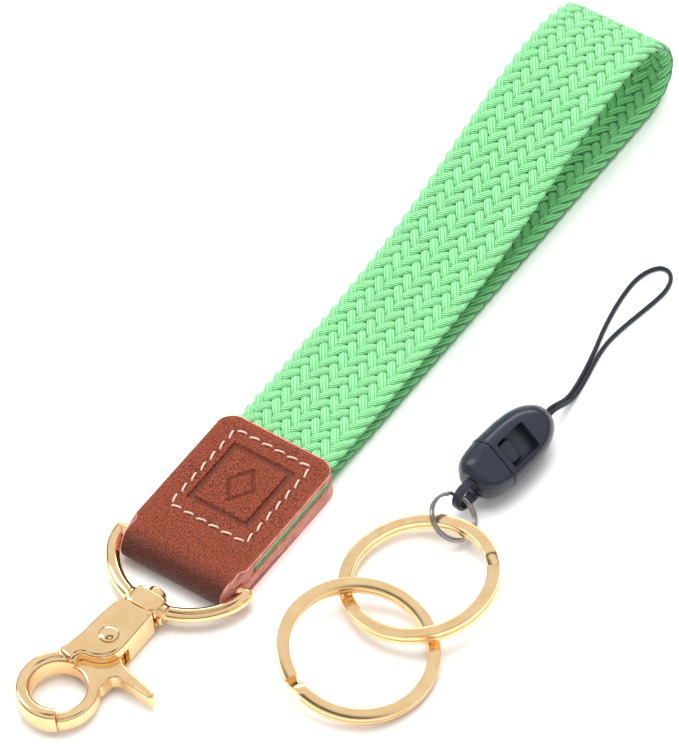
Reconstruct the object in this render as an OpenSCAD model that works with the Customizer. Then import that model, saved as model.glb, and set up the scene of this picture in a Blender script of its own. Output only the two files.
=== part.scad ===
// Wrist lanyard: a braided strap loop stitched into a folded leather tab, a D-ring with a
// swivelling trigger snap, and a set of two key rings with a quick-release phone loop.
// Millimetres, +Z up, +Y along the strap, origin on the back face of the leather tab.

/* [Strap] */
// Width of the braided strap
strap_w = 24; // [16:0.5:30]
// Thickness of the braided strap
strap_t = 2.1; // [1.6:0.1:2.8]
// Length of the loop, from the tab's edge to its far end
loop_l = 126; // [90:1:170]
// Height of the open loop at its far end
loop_h = 21.2; // [16:0.2:30]

/* [Leather tab] */
// Width of the leather tab
tab_w = 27.4; // [25.4:0.2:34]
// Distance from the origin to the tab's edge on the strap side
tab_y = 19.5; // [17:0.5:26]
// Thickness of the front leather ply
leather_t = 1.4; // [1:0.1:2]
// Thickness that is left of the back leather above and below the strap's end
skive_t = 0.7; // [0.6:0.1:1]
// Radius of the tab's two free corners
corner_r = 4; // [2:0.5:6]

/* [D-ring] */
// Diameter of the D-ring's wire
wire_d = 3; // [2.4:0.1:3.6]
// Gap between the D-ring's sides and the leather
side_gap = 0.15; // [0.1:0.05:1]
// Bend radius of the D-ring's shoulders
shoulder_r = 9; // [7:0.5:10]

/* [Hook] */
// Radius of the hook's eye
eye_r = 5.5; // [4.5:0.1:6.6]
// Width of the hook's arm in plan
arm_w = 2.9; // [2.2:0.1:3.4]
// Thickness of the hook's body
body_t = 7; // [6:0.1:8.4]
// Thickness of the trigger
trigger_t = 3.6; // [3:0.1:4.4]
// Radius of the trigger's rivet
rivet_r = 1; // [0.8:0.1:1.2]
// Radius of the swivel post
post_r = 1.25; // [1:0.05:1.5]

/* [Key rings] */
// Outer diameter of a key ring
ring_od = 32; // [26:0.5:40]
// Width of the ring's flat band
band_w = 2.5; // [2:0.1:3]
// Thickness of the ring's two turns together
ring_t = 2.5; // [2:0.1:3]
// Distance between the linked rings' bands where they cross
cross_gap = 0.15; // [0.1:0.05:1]

/* [Phone loop] */
// Mean radius of the small link ring
link_r = 4.9; // [4.4:0.1:6]
// Wire diameter of the small link ring
link_wire = 0.75; // [0.6:0.05:0.9]
// Radius of the round connector body
conn_r = 6; // [5.5:0.1:7]
// Thickness of the connector across its flats
conn_t = 9; // [8:0.2:10]
// Diameter of the phone cord
cord_d = 0.9; // [0.8:0.05:0.95]

/* [Clearances] */
// Radial clearance of a turning fit
turn_clear = 0.05; // [0.03:0.01:0.1]
// Clearance of a sliding piece on each side
slide_clear = 0.2; // [0.1:0.05:0.4]

/* [Hidden] */
$fn = 64;
eps = 0.01;

// Leather tab: levels through the stack and places along it
back_t = strap_t + 2 * skive_t;
slot_top = back_t + strap_t;
tab_t = slot_top + leather_t;
bar_z = tab_t / 2;
bar_y = -14.5;
fold_y = bar_y - 1;
fold_r = tab_t / 2;
slot_y = -9;
pocket_l = 11.5;
pocket_gap = 0.1;
wire_r = wire_d / 2;

// Stitching
thread_r = 0.32;
seam_x = 9.25;
seam_y0 = -6;
seam_y1 = 16.3;
seam_depth = 0.25;
back_seam_depth = 0.5;
stitches_across = 6;
stitches_along = 7;
stitch_share = 0.74;

// Pressed frame and lozenge on the front of the tab
frame_half = [7.1, 7.7];
frame_y = 5.3;
press_w = 0.7;
press_d = 0.3;
lozenge_half = [3.1, 4.2];

// D-ring: a bar with round ends, then two shoulders and a wide bottom arc that meet smoothly
bar_half = tab_w / 2 + side_gap + wire_r;
shoulder_x = bar_half - shoulder_r;
shoulder_a = 32;
bottom_r = shoulder_r + shoulder_x / cos(shoulder_a);
bottom_cy = bar_y + shoulder_x * tan(shoulder_a);
bottom_y = bottom_cy - bottom_r;
knuckle_r = wire_r + 0.05;
bow_sides = 16;
relief_gap = 0.1;

// Boss on the D-ring and the swivel post through it
hook_x = 0.5;
boss = [7, 4.4, 5.2];
collar_w = 1.1;
collar_r = wire_r + 0.65;
head_r = 2.1;
head_l = 1.9;
post_in_hook = 3.6;
boss_front = bottom_y - boss[1] / 2;
boss_back = bottom_y + boss[1] / 2;

// Hook: all places along it count from the shank's face
shank_y = boss_front - 0.5;
body_z = bar_z - body_t / 2;
pivot = [0, shank_y - 8.7];
eye = [-1.8, pivot[1] - 14.4 - (eye_r - 5.5)];
arm_r = eye_r + arm_w;
arm_z = 0.7;
mouth_a = -54;
mouth_gap = 1.5;
root_a = 97;
trigger_z = body_z + 1.1;
trigger_gap = 0.1;
hub_r = 2.9;
hub_gap = 0.2;
gate_w = 2.6;
gate_top_a = 90;
slot_x = -2.3;
slot_over = 0.45;
rivet_head_r = 2.1;
rivet_head_h = 0.8;
rivet_foot_r = 1.7;
rivet_foot_h = 0.5;
spring_r = 2;
spring_wire = 0.44;
spring_turns = 3;
spring_z = trigger_z + trigger_t - spring_turns * spring_wire;

// Key rings: both turn about Y by opposite angles, so each passes over the other once
ring_r = ring_od / 2;
set_gap = 12.3;
ring_x = tab_w / 2 + set_gap + ring_r;
ring_step = 0.65 * ring_od;
ring_a_y = 6.8;
ring_b_y = ring_a_y - ring_step;
cross_x = sqrt(pow(ring_r - band_w, 2) - ring_step * ring_step / 4);
ring_tilt = atan((ring_t + cross_gap) / cross_x);
tilt_a = 0.38 * ring_tilt;
tilt_b = ring_tilt - tilt_a;
ring_z = 0.1 + ring_r * sin(tilt_b) + ring_t / 2;
turn_gap = 0.1;
step_w = 16;
jog_a = 46;
jog_b = -108;

// Small link ring round the upper key ring
link_a = 10.5;
link_out = ring_r + 0.3;
link_pos = [ring_x - link_out * sin(link_a), ring_a_y + link_out * cos(link_a), ring_z];
link_roll = 36;

// Quick-release connector: its own frame starts at the hole in the plug's lug
lug_in = link_r + 0.6;
lug_pos = [link_pos[0] - lug_in * sin(link_a), link_pos[1] + lug_in * cos(link_a), link_pos[2] + 0.2];
conn_turn = -6;
conn_roll = 38;
conn_axis = 6 - lug_pos[2];
lug_r = 3.05;
lug_hole_r = 2.25;
lug_w = 2;
seam_at = 8.7;
seam_gap = 0.1;
tip_at = 25.1;
tongue = [7.4, 11, 4.4];
window = [6.2, 7.4];
window_at = 9.9;
knot_at = 20.9;
knot_r = 1.5;
knot_l = 2.1;
cord_hole_r = 1.2;
cord_sides = 8;

// The cord's route: out of the connector, down to the ground, round its loop and back
cord_route = [
    [40.2, 51.2, 5.7], [40.3, 53.2, 5.7], [40.4, 55.2, 5.5], [40.4, 57.2, 4.6], [40.2, 59.2, 3.2],
    [39.9, 61.2, 1.8], [39.6, 63.4, 0.9], [39.2, 66.0, 0.5], [38.7, 69.2, 0.5], [38.0, 72.6, 0.5],
    [37.1, 76.4, 0.5], [36.0, 80.4, 0.5], [35.1, 84.4, 0.5], [34.4, 88.4, 0.5], [34.0, 92.4, 0.5],
    [34.0, 96.0, 0.5], [34.8, 99.2, 0.5], [36.4, 101.4, 0.5], [38.4, 101.6, 0.5], [40.0, 100.0, 0.5],
    [40.7, 97.2, 0.5], [40.5, 94.0, 0.5], [39.9, 90.4, 0.5], [39.2, 86.6, 0.5], [38.6, 82.8, 0.5],
    [38.3, 79.2, 0.5], [38.5, 76.0, 0.5], [39.0, 72.8, 0.5], [39.7, 69.3, 0.5], [40.2, 66.1, 0.5],
    [40.6, 63.5, 0.9], [40.9, 61.2, 1.8], [41.2, 59.2, 3.2], [41.4, 57.2, 4.6], [41.4, 55.2, 5.5],
    [41.3, 53.2, 5.7], [41.2, 51.1, 5.7]
];

// A smooth curve through points, with n steps between each two
function curve_at(p, i, s) =
    let (a = p[max(i - 1, 0)], b = p[i], c = p[i + 1], d = p[min(i + 2, len(p) - 1)],
         m0 = (c - a) / 2, m1 = (d - b) / 2, s2 = s * s, s3 = s2 * s)
    (2 * s3 - 3 * s2 + 1) * b + (s3 - 2 * s2 + s) * m0 + (3 * s2 - 2 * s3) * c + (s3 - s2) * m1;
function curve(p, n) =
    [for (i = [0:len(p) - 2]) for (k = [0:n - 1]) curve_at(p, i, k / n), p[len(p) - 1]];
function unit(v) = v / norm(v);
function heading(p, i) = unit(p[min(i + 1, len(p) - 1)] - p[max(i - 1, 0)]);

// The loop's centre line in the YZ plane, as shares of its length and of its height
low_z = strap_t / 2;
high_z = loop_h - strap_t / 2;
front_z = back_t + strap_t / 2;
end_z = skive_t + strap_t / 2;
front_share = [[0, 0], [0.12, 0.02], [0.24, 0.06], [0.35, 0.13], [0.46, 0.26], [0.57, 0.48],
               [0.68, 0.73], [0.76, 0.9], [0.83, 0.99], [0.89, 1]];
fold_share = [[0.948, 0.9], [0.98, 0.69], [0.992, 0.42], [0.98, 0.18], [0.95, 0.05], [0.91, 0],
              [0.8, 0], [0.64, 0], [0.48, 0], [0.32, 0], [0.18, 0], [0.1, 0.0]];
function loop_y(u) = tab_y + u * loop_l;
loop_line = concat(
    [[slot_y, front_z], [tab_y - 12, front_z]],
    [for (s = front_share) [loop_y(s[0]), front_z + s[1] * (high_z - front_z)]],
    [for (s = fold_share) [loop_y(s[0]), low_z + s[1] * (high_z - low_z)]],
    [[tab_y + 1, end_z], [tab_y - pocket_l, end_z]]);

// One closed tube of flat-sided section, swept along a line that never runs straight up
module tube(line, r, sides) {
    n = len(line);
    turn = 360 / sides;
    points = [for (i = [0:n - 1])
        let (h = heading(line, i), s = unit(cross(h, [0, 0, 1])), u = cross(s, h))
        for (k = [0:sides - 1]) line[i] + (cos(turn * k) * s + sin(turn * k) * u) * r];
    walls = [for (i = [0:n - 2]) for (k = [0:sides - 1])
        let (a = i * sides + k, b = i * sides + (k + 1) % sides) [a, b, b + sides, a + sides]];
    polyhedron(points, concat(walls, [
        [for (k = [sides - 1:-1:0]) k], [for (k = [0:sides - 1]) (n - 1) * sides + k]]));
}

// Extrudes an outline drawn in Y and Z across the part
module across(w, x = 0) {
    translate([x, 0, 0]) rotate([90, 0, 90]) linear_extrude(height = w, center = true) children();
}

// A bar of round section along Y, between two places
module along(y0, y1, r) {
    translate([0, y0, 0]) rotate([-90, 0, 0]) cylinder(r = r, h = y1 - y0);
}

module wrist_strap() {
    line = curve(loop_line, 5);
    sides = [for (i = [0:len(line) - 1]) let (h = heading(line, i)) [-h[1], h[0]] * strap_t / 2];
    n = len(line);
    color("palegreen") across(strap_w) polygon(concat(
        [for (i = [0:n - 1]) line[i] + sides[i]],
        [for (i = [n - 1:-1:0]) line[i] - sides[i]]));
}

// The tab seen from above, with its two free corners rounded
module tab_plan() {
    y0 = fold_y - tab_t;
    translate([-tab_w / 2, y0]) square([tab_w, tab_y - corner_r - y0]);
    translate([corner_r - tab_w / 2, y0]) square([tab_w - 2 * corner_r, tab_y - y0]);
    for (s = [-1, 1]) translate([s * (tab_w / 2 - corner_r), tab_y - corner_r]) circle(corner_r);
}

// A rectangular groove round the seam line, cut to a depth on each side of the face
module seam_groove(depth) {
    w = 3 * thread_r;
    translate([0, (seam_y0 + seam_y1) / 2, 0]) difference() {
        cube([2 * seam_x + w, seam_y1 - seam_y0 + w, 2 * depth], center = true);
        cube([2 * seam_x - w, seam_y1 - seam_y0 - w, 3 * depth], center = true);
    }
}

module lozenge(grow) {
    linear_extrude(2 * press_d, center = true) polygon([
        [0, -lozenge_half[1] - grow], [lozenge_half[0] + grow, 0],
        [0, lozenge_half[1] + grow], [-lozenge_half[0] - grow, 0]]);
}

// The square frame pressed into the leather, with a plain lozenge inside it
module pressed_mark() {
    difference() {
        cube([2 * frame_half[0], 2 * frame_half[1], 2 * press_d], center = true);
        cube([2 * (frame_half[0] - press_w), 2 * (frame_half[1] - press_w), 3 * press_d], center = true);
    }
    difference() {
        lozenge(0);
        scale(1.5) lozenge(-press_w / 1.5 - lozenge_half[0] / 3);
    }
}

// Room beside the tab's fold for the D-ring's shoulders, all the way through their swing
module ring_relief(side) {
    r = shoulder_r - wire_r - relief_gap;
    reach = fold_r + 1.5;
    intersection() {
        translate([0, bar_y, bar_z]) rotate([0, 0, side]) rotate([0, 90, 0]) rotate_extrude()
            polygon(concat([for (i = [0:8]) let (d = reach * i / 8) [d, shoulder_x + sqrt(r * r - d * d)]],
                           [[reach, tab_w], [0, tab_w]]));
        translate([-tab_w, fold_y - tab_t, -1])
            cube([2 * tab_w, bar_y + wire_r + 0.2 - fold_y + tab_t, tab_t + 2]);
    }
}

module leather_tab() {
    color("saddlebrown") difference() {
        intersection() {
            across(tab_w) union() {
                translate([fold_y, 0]) square([tab_y - fold_y, tab_t]);
                translate([fold_y, bar_z]) circle(fold_r);
            }
            translate([0, 0, -1]) linear_extrude(tab_t + 2) tab_plan();
        }
        across(tab_w + 2) translate([slot_y, back_t]) square([tab_y - slot_y + 1, strap_t]);
        across(tab_w + 2) translate([bar_y, bar_z]) circle(wire_r + turn_clear);
        for (s = [0, 180]) ring_relief(s);
        across(strap_w + 2 * pocket_gap) translate([tab_y - pocket_l, skive_t])
            square([pocket_l + 1, strap_t]);
        translate([0, 0, tab_t]) seam_groove(seam_depth);
        seam_groove(back_seam_depth);
        translate([0, frame_y, tab_t]) pressed_mark();
    }
}

// One stitch along X: a round thread with a flat where it lies in its groove
module stitch(l) {
    intersection() {
        rotate([0, 90, 0]) cylinder(r = thread_r, h = l, center = true, $fn = 24);
        translate([-l, -1, -thread_r / 2]) cube([2 * l, 2, 2]);
    }
}

module seam_run(depth) {
    dx = 2 * seam_x / stitches_across;
    dy = (seam_y1 - seam_y0) / stitches_along;
    lift = thread_r / 2 - depth;
    for (y = [seam_y0, seam_y1]) for (i = [0:stitches_across - 1])
        translate([-seam_x + (i + 0.5) * dx, y, lift]) stitch(stitch_share * dx);
    for (x = [-seam_x, seam_x]) for (i = [0:stitches_along - 1])
        translate([x, seam_y0 + (i + 0.5) * dy, lift]) rotate([0, 0, 90]) stitch(stitch_share * dy);
}

module stitching() {
    color("antiquewhite") {
        translate([0, 0, tab_t]) seam_run(seam_depth);
        mirror([0, 0, 1]) seam_run(back_seam_depth);
    }
}

// Points along an arc in the XY plane
function arc(center, r, from, to, n) =
    [for (i = [0:n]) let (a = from + (to - from) * i / n) [center[0] + r * cos(a), center[1] + r * sin(a), 0]];
function but_first(p) = [for (i = [1:len(p) - 1]) p[i]];

// The D-ring's bow, from one end of the bar round to the other
bow_line = concat(
    arc([shoulder_x, bar_y], shoulder_r, 0, -shoulder_a, 6),
    but_first(arc([0, bottom_cy], bottom_r, -shoulder_a, shoulder_a - 180, 22)),
    but_first(arc([-shoulder_x, bar_y], shoulder_r, shoulder_a - 180, -180, 6)));

module d_ring() {
    color("gold") difference() {
        translate([0, 0, bar_z]) union() {
            translate([0, bar_y, 0]) rotate([0, 90, 0])
                cylinder(r = wire_r, h = 2 * bar_half - side_gap, center = true, $fn = 32);
            for (s = [-1, 1]) translate([s * bar_half, bar_y, 0]) sphere(knuckle_r);
            tube(bow_line, wire_r, bow_sides);
            translate([hook_x, bottom_y, 0]) cube(boss, center = true);
            translate([hook_x, bottom_y, 0]) rotate([0, 90, 0])
                cylinder(r = collar_r, h = boss[0] + 2 * collar_w, center = true);
        }
        translate([hook_x, 0, bar_z]) along(boss_front - 1, boss_back + 1, post_r + turn_clear);
    }
}

module swivel_post() {
    color("gold") translate([hook_x, 0, bar_z]) {
        along(boss_back + turn_clear, boss_back + turn_clear + head_l, head_r);
        along(shank_y - post_in_hook, boss_back + turn_clear, post_r);
    }
}

// A sector of a ring with bevelled edges, centred on the eye
module ring_sector(r0, r1, z0, z1, from, to, bevel) {
    translate([eye[0], eye[1], 0]) rotate([0, 0, from]) rotate_extrude(angle = to - from)
        polygon([[r0 + bevel, z0], [r1 - bevel, z0], [r1, z0 + bevel], [r1, z1 - bevel],
                 [r1 - bevel, z1], [r0 + bevel, z1], [r0, z1 - bevel], [r0, z0 + bevel]]);
}

module body_plan() {
    y = shank_y;
    root = eye[1] + eye_r;
    polygon([[-3.6, y], [4.1, y], [4.1, pivot[1] - 1.7], [2.9, pivot[1] - 4.3], [0.6, pivot[1] - 5.8],
             [-1.9, pivot[1] - 6.4], [-2.4, root + 0.3], [-6.3, root + 1.5], [-5.2, pivot[1] - 2.5],
             [-4.9, pivot[1] + 2.1], [-4.1, y - 3]]);
}

module hook_body() {
    slot_z = trigger_z - trigger_gap;
    slot_h = trigger_t + 2 * trigger_gap;
    color("gold") difference() {
        union() {
            translate([0, 0, body_z]) linear_extrude(body_t) body_plan();
            ring_sector(eye_r, arm_r, body_z + arm_z, body_z + body_t - arm_z,
                        root_a, 360 + mouth_a - mouth_gap, 0.5);
        }
        translate([slot_x, eye[1], slot_z]) cube([20, pivot[1] + slot_over - eye[1], slot_h]);
        translate([pivot[0], pivot[1], slot_z]) cylinder(r = hub_r + hub_gap, h = slot_h);
        translate([pivot[0], pivot[1], body_z - 1]) cylinder(r = rivet_r, h = body_t + 2);
        translate([pivot[0], pivot[1], body_z - 1]) cylinder(r = rivet_foot_r, h = 1 + rivet_foot_h);
        translate([hook_x, 0, bar_z]) along(shank_y - post_in_hook, shank_y + 1, post_r);
    }
}

module trigger_plan() {
    root = eye[1] + eye_r;
    polygon([[-2.1, pivot[1] - 0.3], [-2.1, root + 0.3], [2, root + 0.9], [5.2, root - 1.1],
             [5.3, pivot[1] - 7.2], [6.2, pivot[1] - 6.1], [7.6, pivot[1] - 5.8], [14.6, pivot[1] - 6.6],
             [14.4, pivot[1] - 5.3], [7.1, pivot[1] - 3.6], [5, pivot[1] - 2.8],
             [4, pivot[1] - 1.75], [2.8, pivot[1] - 1]]);
    translate([14.4, pivot[1] - 5.95]) circle(0.68);
}

module hook_trigger() {
    color("gold") difference() {
        union() {
            translate([0, 0, trigger_z]) linear_extrude(trigger_t) trigger_plan();
            ring_sector(eye_r, eye_r + gate_w, trigger_z, trigger_z + trigger_t,
                        mouth_a, gate_top_a, 0.3);
            translate([pivot[0], pivot[1], trigger_z]) cylinder(r = hub_r, h = trigger_t);
        }
        translate([pivot[0], pivot[1], 0]) cylinder(r = rivet_r + turn_clear, h = tab_t + body_t);
        translate([pivot[0], pivot[1], spring_z - turn_clear])
            cylinder(r = spring_r + spring_wire / 2 + turn_clear, h = body_t);
    }
}

module trigger_rivet() {
    dome_r = (rivet_head_r * rivet_head_r + rivet_head_h * rivet_head_h) / (2 * rivet_head_h);
    top = body_z + body_t;
    color("goldenrod") translate([pivot[0], pivot[1], 0]) {
        translate([0, 0, body_z]) cylinder(r = rivet_r, h = body_t + eps);
        translate([0, 0, body_z]) cylinder(r = rivet_foot_r, h = rivet_foot_h);
        intersection() {
            translate([0, 0, top + rivet_head_h - dome_r]) sphere(dome_r);
            translate([-3, -3, top]) cube(6);
        }
    }
}

module trigger_spring() {
    color("silver") translate([pivot[0], pivot[1], spring_z])
        for (i = [0:spring_turns - 1]) translate([0, 0, (i + 0.5) * spring_wire])
            rotate_extrude() translate([spring_r, 0]) circle(spring_wire / 2 + eps, $fn = 24);
}

// A flat ring slit into two turns, which stay joined where the band steps from one to the other
module split_ring() {
    difference() {
        rotate_extrude() translate([ring_r - band_w, -ring_t / 2]) square([band_w, ring_t]);
        rotate([0, 0, step_w / 2]) rotate_extrude(angle = 360 - step_w)
            translate([ring_r - band_w - 1, -turn_gap / 2]) square([band_w + 2, turn_gap]);
    }
}

module key_ring_a() {
    color("gold") translate([ring_x, ring_a_y, ring_z]) rotate([0, -tilt_a, 0])
        rotate([0, 0, jog_a]) split_ring();
}

module key_ring_b() {
    color("gold") translate([ring_x, ring_b_y, ring_z]) rotate([0, tilt_b, 0])
        rotate([0, 0, jog_b]) split_ring();
}

module link_ring() {
    color("silver") translate(link_pos) rotate([0, 0, link_a]) rotate([0, link_roll, 0])
        for (s = [-1, 1]) translate([0, 0, s * 0.44 * link_wire])
            rotate_extrude() translate([link_r, 0]) circle(link_wire / 2, $fn = 24);
}

// Moves to the connector's frame, with its origin in the lug's hole and +Y towards the cord
module at_connector() {
    translate(lug_pos) rotate([0, 0, conn_turn]) children();
}

// A round body along the connector's axis, flattened top and bottom, then rolled
module flat_bullet(outline) {
    translate([0, 0, conn_axis]) rotate([0, conn_roll, 0]) intersection() {
        rotate([-90, 0, 0]) rotate_extrude() polygon(outline);
        cube([4 * conn_r, 4 * tip_at, conn_t], center = true);
    }
}

module on_axis() {
    translate([0, 0, conn_axis]) rotate([0, conn_roll, 0]) children();
}

module connector_plug() {
    r = conn_r - 0.2;
    color("#20242c") at_connector() difference() {
        union() {
            flat_bullet([[0, 2], [r - 2.6, 2], [r - 1.2, 3.4], [r - 0.4, 5.4], [r, seam_at - seam_gap],
                         [0, seam_at - seam_gap]]);
            on_axis() translate([-tongue[0] / 2, seam_at - 1, -tongue[2] / 2])
                cube([tongue[0], tongue[1] + 1, tongue[2]]);
            rotate([0, 90, 0]) cylinder(r = lug_r, h = lug_w, center = true);
            translate([-lug_w / 2, 0, -lug_r]) cube([lug_w, 3, 2 * lug_r]);
        }
        rotate([0, 90, 0]) cylinder(r = lug_hole_r, h = 3 * lug_w, center = true);
    }
}

module connector_socket() {
    c = slide_clear;
    r = conn_r;
    color("#20242c") at_connector() difference() {
        flat_bullet([[0, seam_at], [r, seam_at], [r, seam_at + 6.6], [r - 0.4, seam_at + 10.4],
                     [r - 1.3, seam_at + 13.6], [r - 2.5, tip_at - 0.7], [r - 3.3, tip_at],
                     [0, tip_at]]);
        on_axis() {
            translate([-tongue[0] / 2 - c, seam_at - 1, -tongue[2] / 2 - c])
                cube([tongue[0] + 2 * c, tongue[1] + 1 + c, tongue[2] + 2 * c]);
            translate([-window[0] / 2, window_at, 0]) cube([window[0], window[1], conn_t]);
            along(knot_at - 1, knot_at + knot_l, knot_r + 0.1);
            along(knot_at, tip_at + 1, cord_hole_r);
        }
    }
}

module cord_knot() {
    color("#181818") at_connector() on_axis() along(knot_at, knot_at + knot_l, knot_r);
}

module phone_cord() {
    color("#181818") tube(curve(cord_route, 2), cord_d / 2, cord_sides);
}

wrist_strap();
leather_tab();
stitching();
d_ring();
swivel_post();
hook_body();
hook_trigger();
trigger_rivet();
trigger_spring();
key_ring_a();
key_ring_b();
link_ring();
connector_plug();
connector_socket();
cord_knot();
phone_cord();
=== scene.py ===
"""Wrist lanyard: a braided strap stitched into a folded leather tab, a D-ring with a swivelling
trigger snap, two key rings and a quick-release phone loop. Sizes below are in millimetres."""
import math

import bmesh
import bpy
import numpy as np
from mathutils import Matrix, Vector


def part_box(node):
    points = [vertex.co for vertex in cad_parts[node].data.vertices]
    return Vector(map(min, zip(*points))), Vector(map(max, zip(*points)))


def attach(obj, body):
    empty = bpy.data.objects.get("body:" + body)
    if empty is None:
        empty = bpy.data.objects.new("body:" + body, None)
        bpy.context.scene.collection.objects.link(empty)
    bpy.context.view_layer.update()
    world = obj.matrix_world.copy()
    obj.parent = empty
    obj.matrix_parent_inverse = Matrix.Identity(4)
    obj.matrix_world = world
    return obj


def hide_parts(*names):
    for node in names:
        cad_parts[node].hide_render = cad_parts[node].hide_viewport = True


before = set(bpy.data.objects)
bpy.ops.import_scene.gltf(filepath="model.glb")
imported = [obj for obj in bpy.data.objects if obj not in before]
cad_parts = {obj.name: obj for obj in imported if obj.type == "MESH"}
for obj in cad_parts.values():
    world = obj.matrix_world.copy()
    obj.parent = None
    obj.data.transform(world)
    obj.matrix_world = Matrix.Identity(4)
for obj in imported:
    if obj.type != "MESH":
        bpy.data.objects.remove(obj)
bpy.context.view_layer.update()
MM = 0.001
DEG = math.pi / 180


def node_box(node):
    """A node's lowest and highest corners, in millimetres."""
    low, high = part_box(node)
    return np.array(low) / MM, np.array(high) / MM


# ---------------------------------------------------------------- camera
VIEW_TURN, VIEW_RISE, VIEW_ROLL = 40 * DEG, 50.4 * DEG, -6 * DEG
CAMERA_AT = (413.6, -453.7, 785.0)
back = Vector((math.sin(VIEW_TURN) * math.cos(VIEW_RISE),
               -math.cos(VIEW_TURN) * math.cos(VIEW_RISE), math.sin(VIEW_RISE)))
level = Vector((math.cos(VIEW_TURN), math.sin(VIEW_TURN), 0))
rise = back.cross(level)
right = level * math.cos(VIEW_ROLL) + rise * math.sin(VIEW_ROLL)
top = rise * math.cos(VIEW_ROLL) - level * math.sin(VIEW_ROLL)
lens = bpy.data.cameras.new("camera")
lens.lens = 241.9
lens.sensor_width = 36
lens.clip_end = 10
camera = bpy.data.objects.new("camera", lens)
camera.matrix_world = Matrix.Translation(Vector(CAMERA_AT) * MM) @ Matrix(
    (right, top, back)).transposed().to_4x4()
bpy.context.scene.collection.objects.link(camera)
bpy.context.scene.camera = camera


# ---------------------------------------------------------------- shader expressions
class Wire:
    """An output socket that takes part in arithmetic: each operator adds one Math node."""

    def __init__(self, finish, socket):
        self.finish, self.socket = finish, socket

    def maths(self, operation, *values):
        return self.finish.node("ShaderNodeMath", {"operation": operation}, dict(enumerate(values)))

    def __add__(self, other):
        return self.maths("ADD", self, other)

    def __sub__(self, other):
        return self.maths("SUBTRACT", self, other)

    def __rsub__(self, other):
        return self.maths("SUBTRACT", other, self)

    def __mul__(self, other):
        return self.maths("MULTIPLY", self, other)

    def __pow__(self, other):
        return self.maths("POWER", self, other)

    def sine(self):
        return self.maths("SINE", self)

    def size(self):
        return self.maths("ABSOLUTE", self)

    __radd__ = __add__

    def between(self, low, high):
        """0 at low, 1 at high, smooth between them."""
        return self.finish.node("ShaderNodeMapRange", {"interpolation_type": "SMOOTHSTEP"},
                                {"Value": self, "From Min": low, "From Max": high})


class Finish:
    """A material round one Principled shader, whose fixed numbers are set on its own sockets."""

    def __init__(self, name, **fixed):
        self.material = bpy.data.materials.new(name)
        self.material.use_nodes = True
        self.nodes = self.material.node_tree.nodes
        self.links = self.material.node_tree.links
        self.shader = self.nodes["Principled BSDF"]
        for socket, value in fixed.items():
            socket = socket.replace("_", " ").title().replace("Ior", "IOR")
            self.shader.inputs[socket].default_value = value

    def node(self, kind, settings=None, sockets=None, output=0):
        """Any node: its settings first, then its sockets, each a number or another node's wire."""
        made = self.nodes.new(kind)
        for name, value in (settings or {}).items():
            setattr(made, name, value)
        for name, value in (sockets or {}).items():
            self.put(made.inputs[name], value)
        return Wire(self, made.outputs[output])

    def put(self, socket, value):
        if isinstance(value, Wire):
            self.links.new(value.socket, socket)
        elif socket.type == "RGBA":
            socket.default_value = (*value, 1)
        else:
            socket.default_value = value

    def set(self, **sockets):
        for name, value in sockets.items():
            self.put(self.shader.inputs[name.replace("_", " ").title()], value)

    def place(self):
        return self.node("ShaderNodeTexCoord", output="Object")

    def laid(self):
        """The three numbers that a piece's mesh carries about its yarn or its surface."""
        parts = self.node("ShaderNodeSeparateXYZ", sockets={
            0: self.node("ShaderNodeAttribute", {"attribute_name": "lay"}, output="Vector")})
        return [Wire(self, parts.socket.node.outputs[k]) for k in range(3)]

    def noise(self, per_mm, detail=2.0, roughness=0.5, where=None):
        return self.node("ShaderNodeTexNoise", sockets={
            "Vector": where or self.place(), "Scale": per_mm / MM, "Detail": detail,
            "Roughness": roughness})

    def mixed(self, share, first, second):
        """From the first colour at 0 to the second at 1."""
        return self.node("ShaderNodeMix", {"data_type": "RGBA"}, {0: share, 6: first, 7: second},
                         output=2)

    def bump(self, height, distance, strength=1.0, over=None):
        sockets = {"Height": height, "Distance": distance * MM, "Strength": strength}
        if over:
            sockets["Normal"] = over
        return self.node("ShaderNodeBump", sockets=sockets)


# ---------------------------------------------------------------- mesh code
def closed_rows(rows, count):
    """Faces of a tube made of rows of points, with a flat face at each end."""
    row = np.arange(rows - 1)[:, None]
    k = np.arange(count)[None, :]
    after, turn = row + 1, (k + 1) % count
    faces = np.stack([row * count + k, row * count + turn,
                      after * count + turn, after * count + k], -1).reshape(-1, 4).tolist()
    return faces + [list(range(count))[::-1], list(range((rows - 1) * count, rows * count))]


def step(v):
    """0 below 0 and 1 above 1, smooth between them."""
    v = np.clip(v, 0, 1)
    return v * v * (3 - 2 * v)


def unit(v):
    return v / np.maximum(np.linalg.norm(v, axis=-1, keepdims=True), 1e-9)


def smooth_line(points, steps, closed=False):
    """A smooth curve through the points, with a number of steps between each two."""
    p = np.array(points, float)
    n = len(p)
    pick = (lambda i: i % n) if closed else (lambda i: min(max(i, 0), n - 1))
    out = []
    for i in range(n if closed else n - 1):
        a, b, c, d = (p[pick(i + k)] for k in (-1, 0, 1, 2))
        for s in np.arange(steps) / steps:
            out.append((2 * s**3 - 3 * s**2 + 1) * b + (s**3 - 2 * s**2 + s) * (c - a) / 2
                       + (3 * s**2 - 2 * s**3) * c + (s**3 - s**2) * (d - b) / 2)
    return np.array(out if closed else out + [p[-1]])


def round_section(width, height, radius, corner):
    """A rectangle with rounded corners, as points round it."""
    out = []
    for q, (sx, sy) in enumerate(((1, 1), (-1, 1), (-1, -1), (1, -1))):
        for a in np.linspace(q * 90, q * 90 + 90, corner) * DEG:
            out.append((sx * (width / 2 - radius) + radius * math.cos(a),
                        sy * (height / 2 - radius) + radius * math.sin(a)))
    return np.array(out)


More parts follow.
